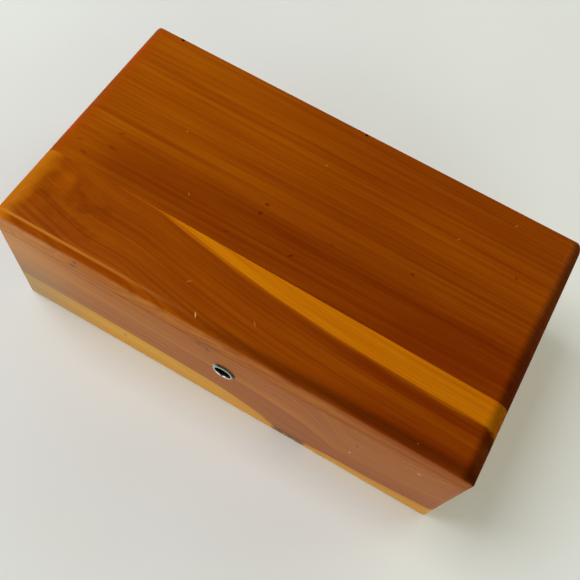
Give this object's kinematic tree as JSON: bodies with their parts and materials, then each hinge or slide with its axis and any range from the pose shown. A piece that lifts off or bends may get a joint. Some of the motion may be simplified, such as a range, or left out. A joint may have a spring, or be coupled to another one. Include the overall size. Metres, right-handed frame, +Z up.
{
  "type": "wooden keepsake box",
  "caption": "Small rectangular keepsake box of polished reddish softwood with a hinged slab lid and a keyed lock behind a round metal ferrule.",
  "frame": {"origin": "middle of the box at the level that it stands on", "axes": "+X along the length to the right of the keyhole side, +Y from the keyhole side to the hinged back, +Z up"},
  "size_m": [0.229, 0.1271, 0.072],
  "materials": {
    "body_wood": "clear gloss varnish over reddish heartwood with yellow sapwood",
    "lid_wood": "clear gloss varnish over reddish heartwood with a yellow sapwood streak",
    "hinge_brass": "satin, slightly dulled",
    "plate_brass": "satin, pressed sheet",
    "ferrule_nickel": "bright nickel plate",
    "lock_steel": "pressed sheet steel, lightly oiled"
  },
  "bodies": {
    "box": {"front_board": "body_wood", "back_board": "body_wood", "left_end_board": "body_wood", "right_end_board": "body_wood", "bottom_panel": "body_wood", "hinge_left_body_leaf": "hinge_brass", "hinge_left_pin": "lock_steel", "hinge_right_body_leaf": "hinge_brass", "hinge_right_pin": "lock_steel", "hinge_body_screws": "hinge_brass", "keyhole_ferrule": "ferrule_nickel", "lock_plate": "plate_brass", "lock_case": "lock_steel", "bolt_guide_studs": "lock_steel", "key_post": "lock_steel", "lock_screws": "hinge_brass"},
    "lid": {"lid_front_board": "lid_wood", "lid_back_board": "lid_wood", "hinge_left_lid_leaf": "hinge_brass", "hinge_right_lid_leaf": "hinge_brass", "hinge_lid_screws": "hinge_brass", "strike_plate": "plate_brass", "strike_screws": "hinge_brass"},
    "lock_bolt": {"lock_bolt": "lock_steel", "bolt_spring": "lock_steel"}
  },
  "joints": [
    {"name": "lid_hinge", "type": "hinge", "parent": "box", "child": "lid", "pos_m": [0, 0.0606, 0.0601], "axis": [-1, 0, 0], "range_deg": [0, 100]},
    {"name": "bolt_slide", "type": "slide", "parent": "box", "child": "lock_bolt", "axis": [1, 0, 0], "range_m": [0, 0.0034]}
  ]
}
